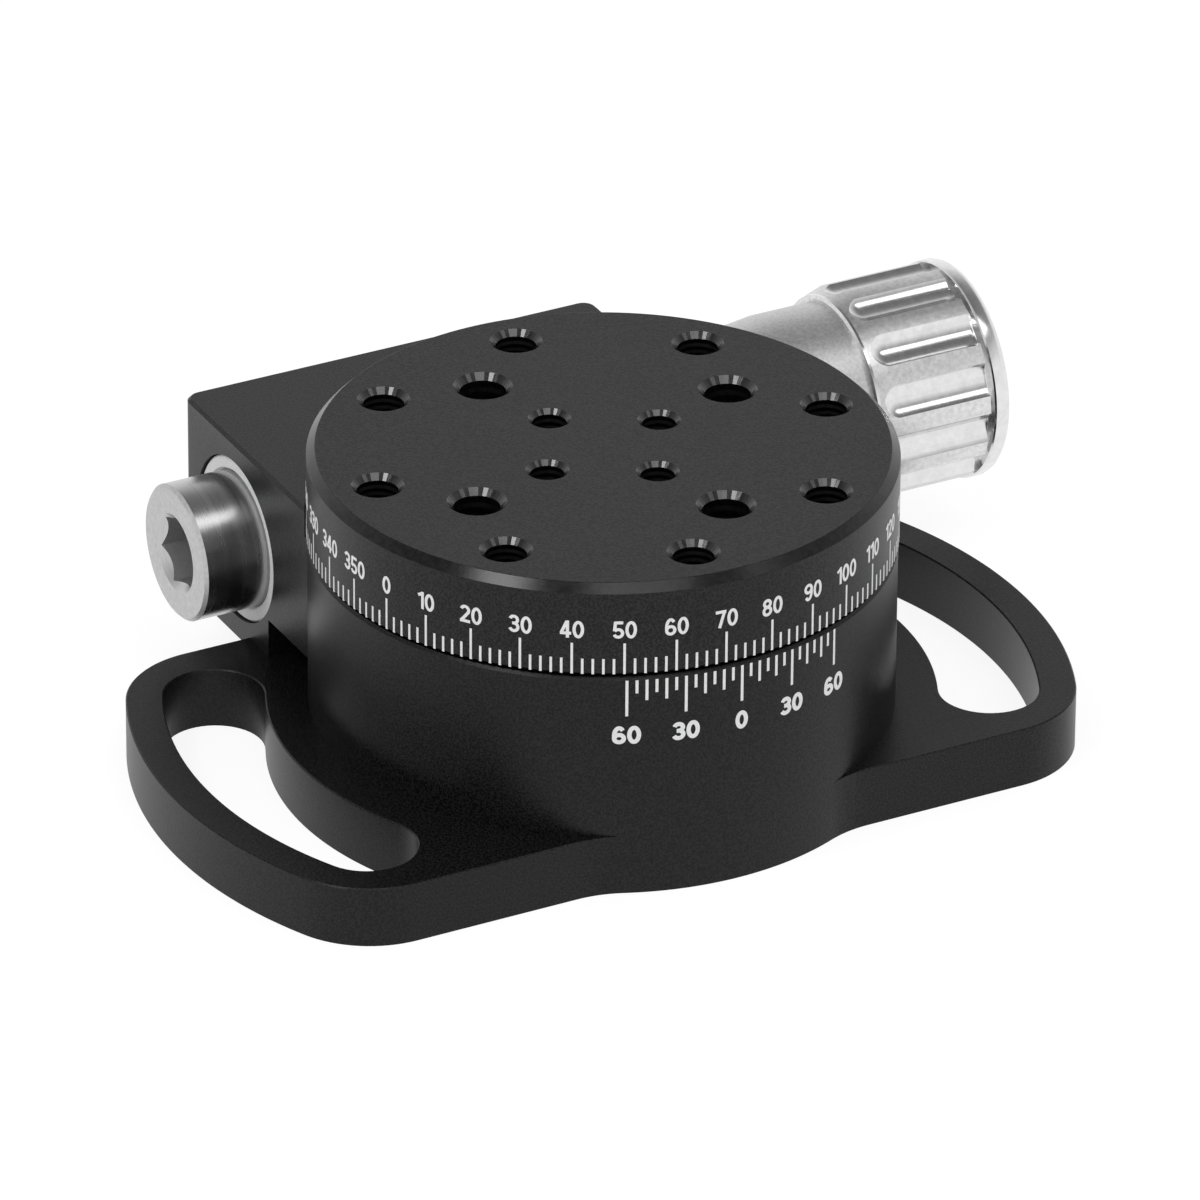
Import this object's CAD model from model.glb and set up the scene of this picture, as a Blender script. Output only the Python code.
import bpy
import math
from mathutils import Matrix, Vector


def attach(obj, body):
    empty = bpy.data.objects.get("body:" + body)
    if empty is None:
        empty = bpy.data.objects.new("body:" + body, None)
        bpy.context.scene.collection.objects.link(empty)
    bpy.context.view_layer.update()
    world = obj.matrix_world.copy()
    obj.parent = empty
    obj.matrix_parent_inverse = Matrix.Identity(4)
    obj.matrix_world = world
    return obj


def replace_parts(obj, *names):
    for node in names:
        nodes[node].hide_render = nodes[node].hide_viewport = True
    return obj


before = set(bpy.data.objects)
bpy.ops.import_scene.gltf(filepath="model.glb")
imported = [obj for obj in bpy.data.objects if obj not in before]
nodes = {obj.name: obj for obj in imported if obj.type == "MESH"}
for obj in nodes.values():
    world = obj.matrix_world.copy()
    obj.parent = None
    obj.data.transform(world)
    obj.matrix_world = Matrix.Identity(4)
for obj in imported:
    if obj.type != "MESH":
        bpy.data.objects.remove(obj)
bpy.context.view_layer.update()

mm = 0.001
wormAxis = (30.2, 17.0)  # y and z of the worm, knob and hub
tableTop = 35.8
drumTop = 25.2


# helpers: sizes are in millimetres, heights from the underside of the plate

def clearPick():
    if bpy.context.object and bpy.context.object.mode != "OBJECT":
        bpy.ops.object.mode_set(mode="OBJECT")
    bpy.ops.object.select_all(action="DESELECT")


def pick(obj):
    clearPick()
    obj.select_set(True)
    bpy.context.view_layer.objects.active = obj
    return obj


def settle(obj):
    # place, turn and size go into the mesh
    pick(obj)
    bpy.ops.object.transform_apply(location=True, rotation=True, scale=True)
    return obj


def named(name):
    obj = bpy.context.object
    obj.name = name
    obj.data.name = name
    return settle(obj)


def editAll():
    bpy.ops.object.mode_set(mode="EDIT")
    bpy.ops.mesh.select_all(action="SELECT")


def pickFaces(obj, rule):
    # selects the faces whose centre and normal pass the rule, then stands in edit mode
    pick(obj)
    bpy.ops.object.mode_set(mode="EDIT")
    bpy.ops.mesh.select_mode(type="FACE")
    bpy.ops.mesh.select_all(action="DESELECT")
    bpy.ops.object.mode_set(mode="OBJECT")
    for face in obj.data.polygons:
        face.select = bool(rule(face.center / mm, face.normal))
    bpy.ops.object.mode_set(mode="EDIT")


def pickEdges(obj, rule):
    # selects the edges whose two ends pass the rule, then stands in edit mode
    pick(obj)
    bpy.ops.object.mode_set(mode="EDIT")
    bpy.ops.mesh.select_mode(type="EDGE")
    bpy.ops.mesh.select_all(action="DESELECT")
    bpy.ops.object.mode_set(mode="OBJECT")
    verts = obj.data.vertices
    for edge in obj.data.edges:
        a, b = (verts[i].co / mm for i in edge.vertices)
        edge.select = bool(rule(a, b))
    bpy.ops.object.mode_set(mode="EDIT")


def leaveEdit():
    bpy.ops.object.mode_set(mode="OBJECT")


def rodAt(name, radius, length, place, steps, rotation=(0, 0, 0)):
    # a cylinder with its middle at a place, upright unless it is turned
    clearPick()
    bpy.ops.mesh.primitive_cylinder_add(vertices=steps, radius=radius * mm, depth=length * mm,
                                        location=[v * mm for v in place], rotation=rotation)
    return named(name)


def rod(name, radius, low, high, steps=64, x=0, y=0):
    # an upright cylinder between two heights
    return rodAt(name, radius, high - low, (x, y, (low + high) / 2), steps)


def rodX(name, radius, start, end, steps=64):
    # a cylinder lying along the worm's axis
    middle = ((start + end) / 2, *wormAxis)
    return rodAt(name, radius, end - start, middle, steps, (0, math.pi / 2, 0))


def brick(name, low, high):
    clearPick()
    mid = [(a + b) / 2 * mm for a, b in zip(low, high)]
    bpy.ops.mesh.primitive_cube_add(size=1, location=mid)
    bpy.context.object.scale = [(b - a) * mm for a, b in zip(low, high)]
    return named(name)


def startPoint(name, x, y, z):
    # a plane pinched to one point, ready to be drawn out
    clearPick()
    bpy.ops.mesh.primitive_plane_add(size=mm, location=(x * mm, y * mm, z * mm))
    obj = named(name)
    editAll()
    bpy.ops.mesh.select_mode(type="VERT")
    bpy.ops.mesh.merge(type="CENTER")
    return obj


def drawTo(dx, dy, dz):
    bpy.ops.mesh.extrude_vertices_move(TRANSFORM_OT_translate={"value": (dx * mm, dy * mm, dz * mm)})


def drawArc(centre, degrees, steps):
    # spin counts its angle clockwise
    bpy.ops.mesh.spin(steps=steps, angle=-math.radians(degrees), center=(centre[0] * mm, centre[1] * mm, 0),
                      axis=(0, 0, 1), dupli=False)


def weld(distance=0.0005):
    bpy.ops.mesh.select_all(action="SELECT")
    bpy.ops.mesh.remove_doubles(threshold=distance * mm)


def raiseBy(height):
    # draws the selected faces or edges straight up
    bpy.ops.mesh.extrude_region_move(TRANSFORM_OT_translate={"value": (0, 0, height * mm)})


def faceOut():
    bpy.ops.mesh.select_all(action="SELECT")
    bpy.ops.mesh.normals_make_consistent(inside=False)


def lathe(name, outline, along="Z", steps=128, closed=True):
    # outline is (radius, place) pairs, turned about the table's axis, or about the worm's with along="X"
    r0, p0 = outline[0]
    if along == "Z":
        obj = startPoint(name, r0, 0, p0)
        centre, axis = (0, 0, 0), (0, 0, 1)
    else:
        obj = startPoint(name, p0, wormAxis[0] + r0, wormAxis[1])
        centre, axis = (0, wormAxis[0] * mm, wormAxis[1] * mm), (1, 0, 0)
    for r, p in outline[1:] + ([outline[0]] if closed else []):
        drawTo(*((r - r0, 0, p - p0) if along == "Z" else (p - p0, r - r0, 0)))
        r0, p0 = r, p
    weld(0.0002)
    bpy.ops.mesh.select_all(action="SELECT")
    bpy.ops.mesh.spin(steps=steps, angle=2 * math.pi, center=centre, axis=axis, dupli=False)
    weld(0.0004)
    bpy.ops.mesh.normals_make_consistent(inside=False)
    leaveEdit()
    return obj


def finishWith(obj, kind, **settings):
    pick(obj)
    mod = obj.modifiers.new(kind.lower(), kind)
    for key, value in settings.items():
        setattr(mod, key, value)
    bpy.ops.object.modifier_apply(modifier=mod.name)
    return obj


def take(obj, tools, how="DIFFERENCE"):
    # cuts away or adds the tools' shapes, and removes the tools
    for tool in tools:
        finishWith(obj, "BOOLEAN", operation=how, object=tool, solver="EXACT")
        bpy.data.objects.remove(tool)
    return obj


def gather(parts, name):
    clearPick()
    for part in parts:
        part.select_set(True)
    bpy.context.view_layer.objects.active = parts[0]
    if len(parts) > 1:
        bpy.ops.object.join()
    return named(name)


def smooth(obj, degrees):
    pick(obj)
    bpy.ops.object.shade_smooth_by_angle(angle=math.radians(degrees))
    return obj


def around(count, first=0.0):
    return [math.radians(first + 360 * i / count) for i in range(count)]


def offWorm(c):
    # how far a point is from the worm's axis
    return math.hypot(c.y - wormAxis[0], c.z - wormAxis[1])


# finishes

def newFinish(name):
    mat = bpy.data.materials.new(name)
    mat.use_nodes = True
    tree = mat.node_tree
    return mat, tree, tree.nodes["Principled BSDF"]


def join(tree, start, end):
    tree.links.new(start, end)


def objectCoords(tree, scale=(1, 1, 1)):
    coords = tree.nodes.new("ShaderNodeTexCoord")
    mapping = tree.nodes.new("ShaderNodeMapping")
    mapping.inputs["Scale"].default_value = scale
    join(tree, coords.outputs["Object"], mapping.inputs["Vector"])
    return mapping.outputs["Vector"]


def noise(tree, vector, scale, detail, rough):
    node = tree.nodes.new("ShaderNodeTexNoise")
    node.inputs["Scale"].default_value = scale
    node.inputs["Detail"].default_value = detail
    node.inputs["Roughness"].default_value = rough
    join(tree, vector, node.inputs["Vector"])
    return node.outputs["Fac"]


def ramp(tree, fac, stops):
    node = tree.nodes.new("ShaderNodeValToRGB")
    node.color_ramp.elements[0].position, node.color_ramp.elements[0].color = stops[0]
    node.color_ramp.elements[1].position, node.color_ramp.elements[1].color = stops[-1]
    for place, colour in stops[1:-1]:
        node.color_ramp.elements.new(place).color = colour
    join(tree, fac, node.inputs["Fac"])
    return node.outputs["Color"]


def grey(v, tint=0.0):
    return (v, v, v * (1 + tint), 1)


def spread(tree, fac, low, high):
    node = tree.nodes.new("ShaderNodeMapRange")
    node.inputs["To Min"].default_value = low
    node.inputs["To Max"].default_value = high
    join(tree, fac, node.inputs["Value"])
    return node.outputs["Result"]


def bump(tree, height, shader, strength, distance):
    node = tree.nodes.new("ShaderNodeBump")
    node.inputs["Strength"].default_value = strength
    node.inputs["Distance"].default_value = distance * mm
    join(tree, height, node.inputs["Height"])
    join(tree, node.outputs["Normal"], shader.inputs["Normal"])


anodisedLook = {"band": (0.42, 0.58), "cloud": 45, "vary": 0.03, "depth": 0.03}


def anodised(name, look):
    # blasted and anodised: dark, with a fine light grain and a slow drift in its gloss
    mat, tree, shader = newFinish(name)
    low, high = anodisedLook["band"]
    vary = anodisedLook["vary"]
    place = objectCoords(tree)
    grain = noise(tree, place, look["grain"], 2.0, 0.6)
    cloud = noise(tree, place, anodisedLook["cloud"], 3.0, 0.5)
    colour = ramp(tree, grain, [(low, grey(look["dark"], 0.03)), (high, grey(look["light"], 0.03))])
    join(tree, colour, shader.inputs["Base Color"])
    join(tree, spread(tree, cloud, look["rough"] - vary, look["rough"] + vary), shader.inputs["Roughness"])
    shader.inputs["Specular IOR Level"].default_value = look["gloss"]
    bump(tree, grain, shader, look["bump"], anodisedLook["depth"])
    return mat


turnedLook = {"across": 12, "band": (0.32, 0.68), "cloud": 120, "varyRings": 0.05, "varyCloud": 0.04,
              "depth": 0.01}


def turned(name, look):
    # rings left by a lathe tool: noise squeezed along the turning axis
    mat, tree, shader = newFinish(name)
    low, high = turnedLook["band"]
    varyRings, varyCloud = turnedLook["varyRings"], turnedLook["varyCloud"]
    fine = (look["rings"], turnedLook["across"], turnedLook["across"])
    rings = noise(tree, objectCoords(tree, scale=fine), 1.0, 4.0, 0.65)
    cloud = noise(tree, objectCoords(tree), turnedLook["cloud"], 3.0, 0.5)
    colour = ramp(tree, rings, [(low, grey(look["dark"])), (high, grey(look["light"]))])
    join(tree, colour, shader.inputs["Base Color"])
    shader.inputs["Metallic"].default_value = 1.0
    mix = tree.nodes.new("ShaderNodeMath")
    mix.operation = "ADD"
    join(tree, spread(tree, rings, -varyRings, varyRings), mix.inputs[0])
    join(tree, spread(tree, cloud, look["rough"] - varyCloud, look["rough"] + varyCloud), mix.inputs[1])
    join(tree, mix.outputs["Value"], shader.inputs["Roughness"])
    bump(tree, rings, shader, look["bump"], turnedLook["depth"])
    return mat


groundLook = {"band": (0.3, 0.7), "vary": 0.05, "depth": 0.015}


def groundMetal(name, look):
    # a fine even grain, for ground, drawn and plated metal
    mat, tree, shader = newFinish(name)
    low, high = groundLook["band"]
    vary = groundLook["vary"]
    grain = noise(tree, objectCoords(tree), look["grain"], 3.0, 0.6)
    colour = ramp(tree, grain, [(low, look["dark"]), (high, look["light"])])
    join(tree, colour, shader.inputs["Base Color"])
    shader.inputs["Metallic"].default_value = look.get("metal", 1.0)
    join(tree, spread(tree, grain, look["rough"] - vary, look["rough"] + vary), shader.inputs["Roughness"])
    bump(tree, grain, shader, look["bump"], groundLook["depth"])
    return mat


def markPaint(name, look):
    mat, tree, shader = newFinish(name)
    low, high = look["band"]
    grain = noise(tree, objectCoords(tree), look["grain"], 2.0, 0.5)
    colour = ramp(tree, grain, [(low, grey(look["dark"])), (high, grey(look["light"]))])
    join(tree, colour, shader.inputs["Base Color"])
    join(tree, spread(tree, grain, *look["rough"]), shader.inputs["Roughness"])
    bump(tree, grain, shader, look["bump"], look["depth"])
    return mat


finishLooks = {
    "tableBlack": (anodised, {"grain": 4200, "dark": 0.0002, "light": 0.0160, "rough": 0.37, "gloss": 0.25,
                              "bump": 0.6}),
    "drumBlack": (anodised, {"grain": 4200, "dark": 0.0002, "light": 0.0115, "rough": 0.37, "gloss": 0.24,
                             "bump": 0.6}),
    "blockBlack": (anodised, {"grain": 4200, "dark": 0.0002, "light": 0.0150, "rough": 0.36, "gloss": 0.27,
                              "bump": 0.6}),
    "cutBlack": (anodised, {"grain": 1500, "dark": 0.002, "light": 0.008, "rough": 0.22, "gloss": 0.3,
                            "bump": 0.12}),
    "sinkBlack": (anodised, {"grain": 1100, "dark": 0.003, "light": 0.012, "rough": 0.2, "gloss": 0.6,
                             "bump": 0.35}),
    "boreBlack": (anodised, {"grain": 1500, "dark": 0.001, "light": 0.004, "rough": 0.5, "gloss": 0.1,
                             "bump": 0.1}),
    "hubSteel": (turned, {"rings": 1500, "dark": 0.44, "light": 0.58, "rough": 0.27, "bump": 0.08}),
    "faceSteel": (groundMetal, {"grain": 2200, "dark": grey(0.48), "light": grey(0.60), "rough": 0.5,
                                "bump": 0.12}),
    "bushSteel": (groundMetal, {"grain": 2200, "dark": grey(0.80), "light": grey(0.90), "rough": 0.6,
                                "bump": 0.10, "metal": 0.0}),
    "neckSteel": (groundMetal, {"grain": 2600, "dark": grey(0.56), "light": grey(0.74), "rough": 0.45,
                                "bump": 0.12}),
    "gripSteel": (groundMetal, {"grain": 1900, "dark": grey(0.62), "light": grey(0.82), "rough": 0.40,
                                "bump": 0.16}),
    "fluteSteel": (groundMetal, {"grain": 900, "dark": grey(0.70), "light": grey(0.80), "rough": 0.17,
                                 "bump": 0.10}),
    "bearingSteel": (groundMetal, {"grain": 1200, "dark": grey(0.50, 0.02), "light": grey(0.60, 0.02),
                                   "rough": 0.3, "bump": 0.05}),
    "screwBlack": (groundMetal, {"grain": 1800, "dark": grey(0.03), "light": grey(0.06), "rough": 0.42,
                                 "bump": 0.08, "metal": 0.6}),
    "bronze": (groundMetal, {"grain": 1400, "dark": (0.34, 0.2, 0.07, 1), "light": (0.48, 0.3, 0.11, 1),
                             "rough": 0.34, "bump": 0.08}),
    "cageBrass": (groundMetal, {"grain": 1400, "dark": (0.45, 0.31, 0.1, 1), "light": (0.58, 0.42, 0.16, 1),
                                "rough": 0.32, "bump": 0.05}),
    "markWhite": (markPaint, {"grain": 2600, "band": (0.3, 0.7), "dark": 0.84, "light": 0.92,
                              "rough": (0.5, 0.65), "bump": 0.1, "depth": 0.01}),
}
finishes = {name: make(name, look) for name, (make, look) in finishLooks.items()}
print("finishes:", len(finishes))


def dress(obj, finish):
    obj.data.materials.clear()
    obj.data.materials.append(finishes[finish])
    return obj


def addFinish(obj, finish, rule):
    # a second finish on the faces that pass the rule
    obj.data.materials.append(finishes[finish])
    index = len(obj.data.materials) - 1
    for face in obj.data.polygons:
        if rule(face.center / mm, face.normal):
            face.material_index = index
    return obj


# table

# each ring of holes: count, first angle, circle radius, bore radius, countersink radius, depth, pitch
tableLook = {"radius": 30.73, "low": 25.6, "rim": 0.9, "foot": 0.25, "pattern": 16.49,
             "inner": (4, 0.0, 8.03, 1.78, 2.27, 7.6, 0.79), "main": (4, 0.0, 18.03, 2.45, 3.12, 8.4, 1.27),
             "outer": (8, 22.5, 24.91, 2.16, 2.77, 8.0, 0.79), "threadDepth": 0.15, "plain": 0.15,
             "seat": 11.52, "seatTop": 26.62, "screwCircle": 14.0, "screwHole": 1.27, "screwTop": 31.45}


def tappedTool(name, hole, at):
    # countersink, then a run of thread grooves, then a plain bottom
    circle, bore, flare, depth, pitch = hole[2:]
    top = tableTop
    z = top - (flare - bore) - tableLook["plain"]
    outline = [(0, top + 1), (flare + 1, top + 1), (bore, top - (flare - bore)), (bore, z)]
    dip = min(tableLook["threadDepth"], pitch * 0.42)
    while z - pitch > top - depth + 1.0:
        outline += [(bore + dip, z - pitch * 0.45), (bore + dip, z - pitch * 0.55), (bore, z - pitch * 0.92),
                    (bore, z - pitch)]
        z -= pitch
    outline += [(bore, top - depth), (0, top - depth - bore * 0.5)]
    tool = lathe(name, outline, steps=36, closed=False)
    tool.location = (circle * math.cos(at) * mm, circle * math.sin(at) * mm, 0)
    return settle(tool)


def makeTable():
    look = tableLook
    r, low, top, rim, foot = look["radius"], look["low"], tableTop, look["rim"], look["foot"]
    seat, seatTop = look["seat"], look["seatTop"]
    table = lathe("tableTop", [(0, top), (r - rim - 0.05, top), (r - rim, top - 0.02), (r - 0.02, top - rim),
                               (r, top - rim - 0.05), (r, low + foot), (r - foot, low), (seat, low),
                               (seat, seatTop), (0, seatTop)], steps=256, closed=False)
    tools, holes = [], []
    for key in ("inner", "main", "outer"):
        count, first, circle, bore, flare = look[key][:5]
        for i, at in enumerate(around(count, look["pattern"] + first)):
            tools.append(tappedTool(f"{key}Tool{i}", look[key], at))
            holes.append((circle * math.cos(at), circle * math.sin(at), flare + 0.02))
    take(table, [gather(tools, "holeTools")])
    ring = look["screwCircle"]
    for at in around(4, look["pattern"] + 45):
        take(table, [rod("screwTool", look["screwHole"], low - 1, look["screwTop"], steps=24,
                         x=ring * math.cos(at), y=ring * math.sin(at))])
    dress(table, "tableBlack")

    def inHole(c, n):
        near = any(math.hypot(c.x - x, c.y - y) < size for x, y, size in holes)
        return near and seatTop + 0.08 < c.z < top - 0.005

    def sloped(c, n):
        return 0.4 < n.z < 0.9 and c.z > top - rim

    def inSink(c, n):
        return sloped(c, n) and inHole(c, n)

    addFinish(table, "boreBlack", inHole)
    addFinish(table, "sinkBlack", inSink)
    addFinish(table, "cutBlack", lambda c, n: sloped(c, n) and math.hypot(c.x, c.y) > r - rim)
    smooth(table, degrees=15)
    # the countersinks keep the flat facets that their cutter left
    pickFaces(table, inSink)
    bpy.ops.mesh.faces_shade_flat()
    leaveEdit()
    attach(table, "table")
    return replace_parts(table, "table_plate")


makeTable()
print("table made")


# degree scale and vernier

scaleLook = {"radius": 30.73, "proud": 0.018, "sunk": 0.1, "start": -163.51, "width": 0.26, "low": 25.71,
             "long": 3.53, "short": 1.75, "digit": 2.0, "digitBase": 29.8, "pen": 0.33, "digitWidth": 1.18,
             "digitGap": 0.12}
vernierLook = {"radius": 30.65, "proud": 0.018, "sunk": 0.1, "middleAt": -90, "step": 23 / 12, "top": 24.87,
               "long": 4.13, "middle": 2.36, "short": 1.51, "width": 0.30, "digit": 2.1, "digitTop": 19.6,
               "pen": 0.46, "digitWidth": 1.44, "digitGap": 0.1}


def standOn(obj, degrees):
    # turns a piece made at angle zero to its place round the drum
    obj.matrix_world = Matrix.Rotation(math.radians(degrees), 4, "Z") @ obj.matrix_world
    return settle(obj)


def tick(name, degrees, low, high, width, look):
    r = look["radius"]
    obj = brick(name, (r - look["sunk"], -width / 2, low), (r + look["proud"], width / 2, high))
    return standOn(obj, degrees)


# numerals as single strokes in a box one unit high: each has a stretch upwards, a start, and then
# straight runs to (x, y) and round ones about (x, y) through some degrees
tall = 1.94
narrowOne = 0.68  # the room a 1 takes beside the other numerals
strokeBox = {"wide": 0.59, "pen": 0.155}  # the full width and the pen that the strokes are drawn for
digitStrokes = {
    "0": [(tall, (-0.218, 0.5), (0, 0.5, 360))],
    "1": [(1, (0.122, 0), (0.122, 1)), (1, (-0.16, 0.76), (0.1, 0.9))],
    "2": [(1, (-0.21, 0.761), (0, 0.705, -200), (-0.2, 0.1)), (1, (-0.295, 0.078), (0.295, 0.078))],
    "3": [(1, (-0.193, 0.774), (0, 0.722, -255), (-0.09, 0.522)),
          (1, (-0.09, 0.522), (0, 0.522), (0, 0.3, -252))],
    "4": [(1, (0.1, 0), (0.1, 1)), (1, (-0.295, 0.27), (0.295, 0.27)), (1, (-0.225, 0.28), (0.07, 0.955))],
    "5": [(1, (-0.2, 0.922), (0.25, 0.922)), (1, (-0.15, 0.97), (-0.2, 0.44)),
          (1, (-0.187, 0.438), (-0.005, 0.31, -305))],
    "6": [(1, (-0.218, 0.3), (0, 0.3, 360)), (tall, (-0.218, 0.39), (-0.218, 0.5), (0, 0.5, -140))],
    "7": [(1, (-0.295, 0.922), (0.295, 0.922)), (1, (0.2, 0.93), (-0.075, 0))],
    "8": [(1, (-0.19, 0.732), (0, 0.732, 360)), (1, (-0.218, 0.3), (0, 0.3, 360))],
    "9": [(1, (0.218, 0.7), (0, 0.7, 360)), (tall, (0.218, 0.61), (0.218, 0.5), (0, 0.5, -140))],
}
digitShapes = {}


def stroke(name, run, look):
    # one stroke: its middle line drawn out, stood up as a ribbon and thickened to the pen's width
    size, pen, width = look["digit"], look["pen"], look["digitWidth"]
    stretch, start = run[0], run[1]
    obj = startPoint(name, start[0] * size, start[1] * size, 0)
    x, y = start
    for move in run[2:]:
        if len(move) == 2:
            drawTo((move[0] - x) * size, (move[1] - y) * size, 0)
            x, y = move
        else:
            cx, cy, turn = move
            drawArc((cx * size, cy * size), turn, max(6, int(abs(turn) / 18)))
            a = math.radians(turn)
            x, y = (cx + (x - cx) * math.cos(a) - (y - cy) * math.sin(a),
                    cy + (x - cx) * math.sin(a) + (y - cy) * math.cos(a))
    weld()
    wide = (width - pen) / (strokeBox["wide"] - strokeBox["pen"]) / size
    high = (size - pen) / ((1 - strokeBox["pen"]) * size)
    bpy.ops.transform.resize(value=(wide, stretch * high, 1), center_override=(0, size / 2 * mm, 0))
    raiseBy(look["sunk"] + look["proud"])
    leaveEdit()
    return finishWith(obj, "SOLIDIFY", thickness=pen * mm, offset=0, use_even_offset=True)


def digitShape(letter, look):
    # a numeral as a thin plate at angle zero: its x, y and z become the tangent, the height and the radius
    key = (letter, look["digit"])
    if key not in digitShapes:
        parts = [stroke(f"stroke{letter}{i}", run, look) for i, run in enumerate(digitStrokes[letter])]
        take(parts[0], parts[1:], "UNION")
        stand = Matrix(((0, 0, 1, -look["sunk"] * mm), (1, 0, 0, 0), (0, 1, 0, 0), (0, 0, 0, 1)))
        parts[0].data.transform(stand)
        digitShapes[key] = parts[0]
    return digitShapes[key]


def copyOf(obj, name):
    twin = obj.copy()
    twin.data = obj.data.copy()
    twin.name = name
    bpy.context.scene.collection.objects.link(twin)
    return twin


def numeral(text, degrees, base, look):
    # the numerals stand side by side with a small gap, centred on the mark
    widths = [look["digitWidth"] * (narrowOne if letter == "1" else 1.0) for letter in text]
    across = -(sum(widths) + look["digitGap"] * (len(text) - 1)) / 2
    made = []
    for i, (letter, width) in enumerate(zip(text, widths)):
        twin = copyOf(digitShape(letter, look), f"numeral{text}{i}")
        twin.location = (look["radius"] * mm, 0, base * mm)
        settle(twin)
        turn = math.degrees((across + width / 2) / look["radius"])
        made.append(standOn(twin, degrees + turn))
        across += width + look["digitGap"]
    return made


def makeScale():
    look = scaleLook
    ticks = []
    for value in range(0, 360, 2):
        high = look["low"] + (look["long"] if value % 10 == 0 else look["short"])
        ticks.append(tick("tick", look["start"] + value, look["low"], high, look["width"], look))
    lines = dress(gather(ticks, "scaleLines"), "markWhite")
    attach(lines, "table")
    made = []
    for value in range(0, 360, 10):
        made += numeral(str(value), look["start"] + value, look["digitBase"], look)
    numbers = dress(gather(made, "scaleNumbers"), "markWhite")
    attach(numbers, "table")


def makeVernier():
    look = vernierLook
    ticks = []
    for i in range(-12, 13):
        low = look["top"] - (look["long"] if i % 6 == 0 else look["middle"] if i % 2 == 0 else look["short"])
        turn = look["middleAt"] + i * look["step"]
        ticks.append(tick("tick", turn, low, look["top"], look["width"], look))
    lines = dress(gather(ticks, "vernierLines"), "markWhite")
    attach(lines, "base")
    made = []
    for i, label in zip((-12, -6, 0, 6, 12), ("60", "30", "0", "30", "60")):
        made += numeral(label, look["middleAt"] + i * look["step"], look["digitTop"] - look["digit"], look)
    numbers = dress(gather(made, "vernierNumbers"), "markWhite")
    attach(numbers, "base")


makeScale()
makeVernier()
for shape in digitShapes.values():
    bpy.data.objects.remove(shape)
print("scale and vernier made")


# base: plate, drum and slots

baseLook = {"plate": 6.7, "side": 49.66, "half": 27.15, "corner": 10.7, "blend": 12.3, "drum": 30.65,
            "topEdge": 0.14, "rimEdge": 0.3, "slotMid": 40.43, "slotHalf": 5.3, "slotAngle": 26.0,
            "chamber": [(28.2, 24.4), (26.9, 24.4), (26.9, 21.4), (26.2, 21.4), (26.2, 11.0), (15.0, 11.0),
                        (15.0, 5.0), (13.2, 5.0), (13.2, 2.4), (20.0, 2.4)],
            "bores": {"cavity": (6.0, -20.4, 14.0), "leftBore": (9.1, -27.7, -19.4),
                      "rightBore": (7.0, 13.0, 21.0), "flangeRoom": (8.8, 20.7, 23.0)},
            "screwCircle": 17.7, "screwHole": 1.27, "screwLow": 1.4, "screwHigh": 8.0}


def wingOutline(side):
    # one end of the plate, drawn round from the drum and back to it
    look = baseLook
    cornerX = math.sqrt((look["side"] - look["corner"]) ** 2 - (look["half"] - look["corner"]) ** 2)
    cornerY = look["half"] - look["corner"]
    blendY = look["half"] + look["blend"]
    blendX = math.sqrt((look["drum"] + look["blend"]) ** 2 - blendY ** 2)
    onDrum = math.degrees(math.atan2(blendY, blendX))
    onSide = math.degrees(math.atan2(cornerY, cornerX))
    a = math.radians(onDrum)
    wing = startPoint(f"wing{side}", look["drum"] * math.cos(a), -look["drum"] * math.sin(a), 0)
    drawArc((blendX, -blendY), -(90 - onDrum), 10)
    drawTo(cornerX - blendX, 0, 0)
    drawArc((cornerX, -cornerY), 90 - onSide, 16)
    drawArc((0, 0), 2 * onSide, 40)
    drawArc((cornerX, cornerY), 90 - onSide, 16)
    drawTo(blendX - cornerX, 0, 0)
    drawArc((blendX, blendY), -(90 - onDrum), 10)
    drawArc((0, 0), -2 * onDrum, 96)
    weld()
    bpy.ops.mesh.edge_face_add()
    leaveEdit()
    if side < 0:
        wing.rotation_euler = (0, 0, math.pi)
        settle(wing)
    return wing, onDrum


def slotTool(side):
    # a curved slot about the table's axis, with round ends
    look = baseLook
    mid, half, angle = look["slotMid"], look["slotHalf"], look["slotAngle"]
    b = math.radians(angle)
    tool = startPoint(f"slot{side}", (mid + half) * math.cos(b), -(mid + half) * math.sin(b), -1)
    drawArc((0, 0), 2 * angle, 44)
    drawArc((mid * math.cos(b), mid * math.sin(b)), 180, 24)
    drawArc((0, 0), -2 * angle, 44)
    drawArc((mid * math.cos(b), -mid * math.sin(b)), 180, 24)
    weld()
    bpy.ops.mesh.edge_face_add()
    raiseBy(look["plate"] + 2)
    faceOut()
    leaveEdit()
    if side < 0:
        tool.rotation_euler = (0, 0, math.pi)
        settle(tool)
    return tool


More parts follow.
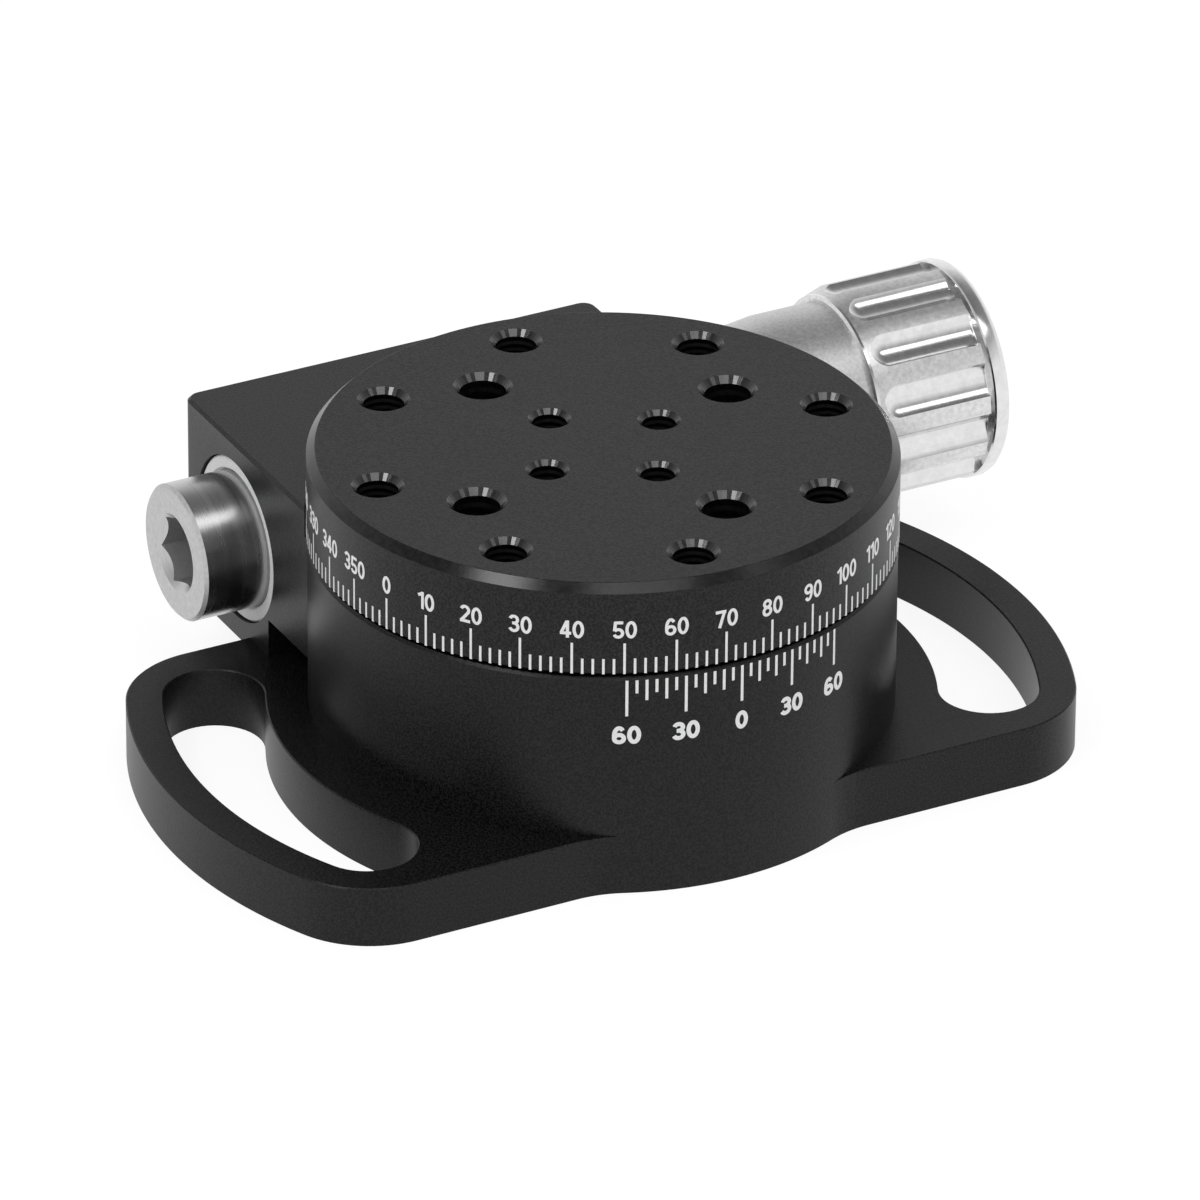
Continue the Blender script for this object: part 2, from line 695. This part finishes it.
def makeBase():
    look = baseLook
    right, onDrum = wingOutline(1)
    left, onDrum = wingOutline(-1)
    # the drum's own disc, with the same points as the two wings where they meet
    a = math.radians(onDrum)
    disc = startPoint("disc", look["drum"] * math.cos(a), -look["drum"] * math.sin(a), 0)
    drawArc((0, 0), 2 * onDrum, 96)
    drawArc((0, 0), 180 - 2 * onDrum, 34)
    drawArc((0, 0), 2 * onDrum, 96)
    drawArc((0, 0), 180 - 2 * onDrum, 34)
    weld()
    bpy.ops.mesh.edge_face_add()
    leaveEdit()
    base = gather([disc, right, left], "baseBody")
    editAll()
    weld(0.002)
    faceOut()
    raiseBy(look["plate"])
    leaveEdit()
    pickFaces(base, lambda c, n: abs(n.z) > 0.9 and c.z > look["plate"] - 0.1 and math.hypot(c.x, c.y) < 2)
    raiseBy(drumTop - look["plate"])
    faceOut()
    leaveEdit()
    take(base, [slotTool(1), slotTool(-1)])
    outline = [(0, drumTop + 1), (look["chamber"][0][0], drumTop + 1), *look["chamber"],
               (look["chamber"][-1][0], -1), (0, -1)]
    tools = [lathe("chamber", outline, steps=128, closed=False)]
    tools += [rodX(name, *bore) for name, bore in look["bores"].items()]
    for at in around(4, 45):
        tools.append(rod("coverScrew", look["screwHole"], look["screwLow"], look["screwHigh"], steps=24,
                         x=look["screwCircle"] * math.cos(at), y=look["screwCircle"] * math.sin(at)))
    take(base, tools)

    def plateEdge(p, q):
        mid = (p + q) / 2
        return (abs(p.z - look["plate"]) < 0.01 and abs(q.z - look["plate"]) < 0.01
                and math.hypot(mid.x, mid.y) > look["drum"] + 0.6)

    def rimEdge(p, q):
        return (min(p.z, q.z) > drumTop - 0.01 and math.hypot(p.x, p.y) > look["drum"] - 0.05
                and math.hypot(q.x, q.y) > look["drum"] - 0.05 and (p - q).length < 4)

    # sharp edges get a small flat, the one the light catches
    for rule, size in ((plateEdge, look["topEdge"]), (rimEdge, look["rimEdge"])):
        pickEdges(base, rule)
        bpy.ops.mesh.bevel(offset=size * mm, segments=1, affect="EDGES", clamp_overlap=False)
        leaveEdit()
    dress(base, "drumBlack")
    smooth(base, degrees=24)
    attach(base, "base")
    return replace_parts(base, "base_body")


baseBody = makeBase()
print("base made", len(baseBody.data.polygons))


# worm housing

housingLook = {"left": -27.7, "right": 20.7, "front": 10.0, "back": 42.6, "low": 5.5, "top": 28.35,
               "reliefY": 22.4, "reliefZ": 11.1, "footY": 27.15, "footZ": 6.7, "corner": 1.6, "edge": 0.35,
               "tableRoom": 30.9,
               "bores": {"cavity": (6.0, -20.4, 14.0, 64), "leftBore": (9.1, -30.0, -19.4, 96),
                         "rightBore": (7.0, 13.0, 23.0, 64)},
               "screwsX": (-15.0, -2.75, 9.5), "screwZ": 8.9, "headHole": 2.9, "headDeep": 6.8,
               "shankHole": 1.52, "shankDeep": 24.0, "shankY": 34.0}


def makeHousing():
    look = housingLook
    back, top = look["back"], look["top"]
    block = brick("wormHousing", (look["left"], look["front"], look["low"]), (look["right"], back, top))
    pickEdges(block, lambda p, q: min(p.y, q.y) > back - 0.1 and abs(p.z - q.z) > 1)
    bpy.ops.mesh.bevel(offset=look["corner"] * mm, segments=10, affect="EDGES")
    leaveEdit()
    pickEdges(block, lambda p, q: min(p.z, q.z) > top - 0.1)
    bpy.ops.mesh.bevel(offset=look["edge"] * mm, segments=1, affect="EDGES")
    leaveEdit()
    tools = [brick("relief", (-60, -20, -1), (60, look["reliefY"], look["reliefZ"])),
             brick("foot", (-60, -20, -1), (60, look["footY"], look["footZ"])),
             rod("belly", baseLook["drum"], -1, drumTop, steps=256),
             rod("tableRoom", look["tableRoom"], drumTop - 0.02, 40, steps=256)]
    tools += [rodX(name, *bore) for name, bore in look["bores"].items()]
    take(block, tools)
    lying, z = (math.pi / 2, 0, 0), look["screwZ"]
    for x in look["screwsX"]:
        head = rodAt("headRoom", look["headHole"], look["headDeep"], (x, back, z), 40, lying)
        shank = rodAt("shankRoom", look["shankHole"], look["shankDeep"], (x, look["shankY"], z), 32, lying)
        take(block, [head, shank])
    dress(block, "blockBlack")
    smooth(block, degrees=24)
    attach(block, "base")
    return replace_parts(block, "worm_housing")


makeHousing()
print("housing made")


# bush ring and hex hub

bushLook = {"hole": 7.45, "bevel": 0.25, "face": -27.4, "faceRadius": 8.85, "radius": 9.08, "inner": -20.0}


def makeBush():
    look = bushLook
    hole, bevel, face, inner = look["hole"], look["bevel"], look["face"], look["inner"]
    bush = lathe("bushRing", [(hole, face + bevel), (hole + bevel, face), (look["faceRadius"], face),
                              (look["faceRadius"] + 0.15, face + 0.15), (look["radius"], face + 1),
                              (look["radius"], inner), (hole, inner)], along="X", steps=128)
    dress(bush, "bushSteel")
    smooth(bush, degrees=30)
    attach(bush, "base")
    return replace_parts(bush, "left_bush")


hubLook = {"radius": 7.4, "end": -34.7, "inner": -20.2, "chamfer": 0.35, "flats": 7.0, "depth": 5.5,
           "turn": -14.0, "flare": 4.35, "shaftHole": 3.02, "shaftEnd": -28.0, "drill": 2.9,
           "pinHole": 1.01, "pinX": -24.0}


def makeHub():
    look = hubLook
    end, r, c = look["end"], look["radius"], look["chamfer"]
    hub = lathe("hexHub", [(0, end), (r - c, end), (r, end + c), (r, look["inner"]),
                           (look["shaftHole"], look["inner"]), (look["shaftHole"], look["shaftEnd"]),
                           (0, look["shaftEnd"])], along="X", steps=160, closed=False)
    wide = look["flare"]
    flare = lathe("flare", [(0, end - 0.5), (wide + 0.5, end - 0.5), (wide - 1.2, end + 1.2),
                            (0, end + 1.2)], along="X", steps=88, closed=False)
    clearPick()
    corner = look["flats"] / math.sqrt(3)
    bpy.ops.mesh.primitive_cylinder_add(vertices=6, radius=corner * mm, depth=(look["depth"] + 1) * mm)
    hexTool = bpy.context.object
    # a corner of the hexagon leans a little below the +y direction
    middle = Vector((end + (look["depth"] - 1) / 2, *wormAxis)) * mm
    layDown = Matrix(((0, 0, 1, 0), (0, 1, 0, 0), (-1, 0, 0, 0), (0, 0, 0, 1)))
    lean = Matrix.Rotation(math.radians(look["turn"]), 4, "X")
    hexTool.matrix_world = Matrix.Translation(middle) @ lean @ layDown
    hexTool = named("hexTool")
    drill = rodX("drill", look["drill"], end + 4, end + look["depth"] + 0.9, 48)
    take(hub, [flare, hexTool, drill])
    take(hub, [rodAt("pinRoom", look["pinHole"], 20, (look["pinX"], *wormAxis), 32)])
    dress(hub, "hubSteel")

    def onFace(c, n):
        # the end face, its outer chamfer and the socket's walls, but not the countersink
        off = offWorm(c)
        return (n.x < -0.95 and c.x < end + 0.1 or n.x < -0.5 and off > r - look["chamfer"] - 0.1
                or abs(n.x) < 0.5 and off < wide and c.x < end + look["depth"] - 0.05)

    addFinish(hub, "faceSteel", onFace)
    smooth(hub, degrees=24)
    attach(hub, "worm_line")
    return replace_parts(hub, "hex_hub")


makeBush()
makeHub()
print("hub made")


# knob

knobLook = {"neckStart": 21.8, "neck": 10.4, "start": 43.3, "radius": 11.8, "end": 56.6, "core": 8.0,
            "groove": 0.45, "grooveRadius": 11.1, "ringEnd": 59.05, "ring": 12.0, "flutes": 13, "turn": 21.4,
            "fluteRadius": 2.6, "fluteCentre": 13.5, "shaftHole": 5.02, "shaftEnd": 48.62, "endHole": 1.52,
            "endHoleStart": 50.6, "setHole": 1.27, "setX": 30.0, "setZ": -7.5, "screwHole": 1.62,
            "dish": 9.0, "dishDeep": 0.6, "headRoom": 2.9, "headDeep": 1.7}


def makeNeck():
    look = knobLook
    s, e, core = look["start"], look["end"], look["core"] - 0.02
    low, hole, holeEnd = look["neckStart"], look["shaftHole"], look["shaftEnd"]
    neck = lathe("knobNeck", [(hole, low), (7.3, low), (9.4, low + 2.6), (10.05, 33.5), (look["neck"], 36.4),
                              (look["neck"], s), (core, s), (core, e), (look["endHole"], e),
                              (look["endHole"], look["endHoleStart"]), (0, look["endHoleStart"]),
                              (0, holeEnd), (hole, holeEnd)], along="X", steps=160)
    at = (look["setX"], wormAxis[0], wormAxis[1] + look["setZ"])
    take(neck, [rodAt("screwRoom", look["setHole"], 9, at, 32)])
    dress(neck, "neckSteel")
    smooth(neck, degrees=24)
    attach(neck, "worm_line")
    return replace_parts(neck, "knob_neck")


def fluteTool(name, start, end, at):
    # a ball whose far half is drawn out to run past the grip's end
    look = knobLook
    y = wormAxis[0] + look["fluteCentre"] * math.cos(at)
    z = wormAxis[1] + look["fluteCentre"] * math.sin(at)
    clearPick()
    bpy.ops.mesh.primitive_uv_sphere_add(segments=64, ring_count=32, radius=look["fluteRadius"] * mm,
                                         location=(start * mm, y * mm, z * mm), rotation=(0, math.pi / 2, 0))
    cutter = named(name)
    pickFaces(cutter, lambda c, n: c.x > start + 0.01)
    bpy.ops.mesh.delete(type="FACE")
    bpy.ops.mesh.select_mode(type="EDGE")
    bpy.ops.mesh.select_all(action="DESELECT")
    bpy.ops.mesh.select_non_manifold()
    bpy.ops.mesh.extrude_edges_move(TRANSFORM_OT_translate={"value": ((end - start) * mm, 0, 0)})
    bpy.ops.mesh.edge_face_add()
    faceOut()
    leaveEdit()
    return cutter


def makeGrip():
    look = knobLook
    s, r, core, end = look["start"], look["radius"], look["core"], look["end"]
    grip = lathe("knobGrip", [(core, s), (10.75, s), (11.1, s + 0.2), (11.15, s + 0.45), (r, s + 2.2),
                              (r, end), (core, end)], along="X", steps=260)
    places = around(look["flutes"], look["turn"])
    take(grip, [fluteTool(f"flute{i}", s + 2.3, end + 1, at) for i, at in enumerate(places)])
    dress(grip, "gripSteel")

    def inFlute(c, n):
        return (c.x > s + 0.3 and abs(n.x) < 0.99 and 9 < offWorm(c) < r - 0.04
                and (c.x > s + 2.2 or n.x > -0.3))

    addFinish(grip, "fluteSteel", inFlute)
    smooth(grip, degrees=22)
    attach(grip, "worm_line")
    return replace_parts(grip, "knob")


def makeEndRing():
    look = knobLook
    e, g, r, f = look["end"], look["groove"], look["ring"], look["ringEnd"]
    inner, dish, room = look["grooveRadius"], look["dish"], look["headRoom"]
    dishEnd, roomEnd = f - look["dishDeep"], f - look["headDeep"]
    ring = lathe("knobEndRing", [(0, e + 0.002), (inner, e + 0.002), (inner, e + g), (r - 0.15, e + g),
                                 (r, e + g + 0.15), (r, f - 0.8), (r - 0.1, f - 0.45), (r - 0.35, f - 0.15),
                                 (r - 0.8, f), (dish + 0.6, f), (dish, dishEnd), (room, dishEnd),
                                 (room, roomEnd), (0, roomEnd)], along="X", steps=192, closed=False)
    take(ring, [rodX("screwRoom", look["screwHole"], e - 1, f, steps=32)])
    dress(ring, "fluteSteel")
    smooth(ring, degrees=26)
    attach(ring, "worm_line")
    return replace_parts(ring, "knob_end_ring")


makeNeck()
makeGrip()
makeEndRing()
print("knob made")


# the parts kept as they come, each with its finish

nodeFinish = {
    "bearingSteel": ["dowel_pins", "thrust_washer", "upper_outer_ring", "lower_outer_ring", "spindle",
                     "wheel_nut", "spindle_nut", "upper_inner_ring", "lower_inner_ring", "upper_balls",
                     "lower_balls", "worm_shaft", "worm", "worm_spacer", "worm_collar", "hub_pin"],
    "screwBlack": ["housing_screws", "bearing_clamp_ring", "cover_screws", "spindle_screws",
                   "knob_set_screw", "knob_end_screw"],
    "drumBlack": ["base_cover"],
    "bronze": ["right_bush", "worm_wheel"],
    "cageBrass": ["upper_cage", "lower_cage"],
}
for finish, names in nodeFinish.items():
    for name in names:
        dress(nodes[name], finish)
        smooth(nodes[name], degrees=30)


# floor, light and camera

floorLook = {"size": 6.0, "drop": 0.02, "grain": 60, "dark": 0.80, "light": 0.84, "rough": 0.9, "lit": 0.22,
             "glow": 1.12}
lightLook = {"sky": 0.62, "skyBands": [(0.0, 1.0), (0.3, 1.0), (0.5, 0.72), (0.74, 0.26), (1.0, 0.12)],
             "lamps": [("keyPanel", (-0.66, -0.13, 1.00), (0.28, 0.24), 2.6),
                       ("frontPanel", (-0.06, -0.50, 1.06), (0.56, 0.28), 1.8),
                       ("sidePanel", (0.50, -0.38, 1.05), (0.30, 0.55), 1.1)],
             "aim": (0, 0.01, 0.02)}


def whiteRays(tree):
    # one where the ray comes from the camera, a reflection or through glass
    path = tree.nodes.new("ShaderNodeLightPath")
    total = path.outputs["Is Camera Ray"]
    for name in ("Is Glossy Ray", "Is Transmission Ray"):
        add = tree.nodes.new("ShaderNodeMath")
        add.operation = "MAXIMUM"
        join(tree, total, add.inputs[0])
        join(tree, path.outputs[name], add.inputs[1])
        total = add.outputs["Value"]
    return total


def makeFloor():
    look = floorLook
    clearPick()
    bpy.ops.mesh.primitive_plane_add(size=look["size"], location=(0, 0, -look["drop"] * mm))
    floor = named("floor")
    mat, tree, shader = newFinish("paleFloor")
    grain = noise(tree, objectCoords(tree), look["grain"], 2.0, 0.5)
    colour = ramp(tree, grain, [(0.3, grey(look["dark"])), (0.7, grey(look["light"]))])
    join(tree, colour, shader.inputs["Base Color"])
    shader.inputs["Roughness"].default_value = look["rough"]
    glow = tree.nodes.new("ShaderNodeEmission")
    glow.inputs["Strength"].default_value = look["glow"]
    # the part that is lit in the usual way keeps the shadow
    share = spread(tree, whiteRays(tree), 0.0, 1.0 - look["lit"])
    mixer = tree.nodes.new("ShaderNodeMixShader")
    join(tree, share, mixer.inputs["Fac"])
    join(tree, shader.outputs["BSDF"], mixer.inputs[1])
    join(tree, glow.outputs["Emission"], mixer.inputs[2])
    join(tree, mixer.outputs["Shader"], tree.nodes["Material Output"].inputs["Surface"])
    floor.data.materials.append(mat)


def makeLights():
    world = bpy.data.worlds.new("studio")
    bpy.context.scene.world = world
    world.use_nodes = True
    tree = world.node_tree
    back = tree.nodes["Background"]
    back.inputs["Color"].default_value = grey(lightLook["sky"])
    # what reflections see: white all round, greyer overhead
    coords = tree.nodes.new("ShaderNodeTexCoord")
    split = tree.nodes.new("ShaderNodeSeparateXYZ")
    join(tree, coords.outputs["Generated"], split.inputs["Vector"])
    seen = tree.nodes.new("ShaderNodeBackground")
    bands = ramp(tree, split.outputs["Z"], [(place, grey(v)) for place, v in lightLook["skyBands"]])
    join(tree, bands, seen.inputs["Color"])
    mixer = tree.nodes.new("ShaderNodeMixShader")
    join(tree, whiteRays(tree), mixer.inputs["Fac"])
    join(tree, back.outputs["Background"], mixer.inputs[1])
    join(tree, seen.outputs["Background"], mixer.inputs[2])
    join(tree, mixer.outputs["Shader"], tree.nodes["World Output"].inputs["Surface"])
    for name, place, size, power in lightLook["lamps"]:
        clearPick()
        bpy.ops.object.light_add(type="AREA", location=place)
        lamp = bpy.context.object
        lamp.name = name
        lamp.data.shape = "RECTANGLE"
        lamp.data.size, lamp.data.size_y = size
        lamp.data.energy = power
        aim = Vector(lightLook["aim"]) - Vector(place)
        lamp.rotation_euler = aim.to_track_quat("-Z", "Y").to_euler()


cameraLook = {"azimuth": -27.787, "elevation": 28.623, "roll": 0.3885, "distance": 1273.3, "lens": 367.53,
              "target": (-0.27, 0.0, 17.58)}


def makeCamera():
    look = cameraLook
    a, e, roll = (math.radians(look[k]) for k in ("azimuth", "elevation", "roll"))
    back = Vector((math.sin(a) * math.cos(e), -math.cos(a) * math.cos(e), math.sin(e)))
    right = Vector((math.cos(a), math.sin(a), 0))
    up = back.cross(right)
    right, up = right * math.cos(roll) + up * math.sin(roll), up * math.cos(roll) - right * math.sin(roll)
    bpy.ops.object.camera_add()
    cam = bpy.context.object
    cam.name = "camera"
    cam.data.sensor_width = 36
    cam.data.lens = look["lens"]
    place = Vector(look["target"]) * mm + back * look["distance"] * mm
    cam.matrix_world = Matrix(((right.x, up.x, back.x, place.x), (right.y, up.y, back.y, place.y),
                               (right.z, up.z, back.z, place.z), (0, 0, 0, 1)))
    cam.data.clip_start, cam.data.clip_end = 0.05, 20
    bpy.context.scene.camera = cam


makeFloor()
makeLights()
makeCamera()
bpy.context.scene.view_settings.view_transform = "Standard"
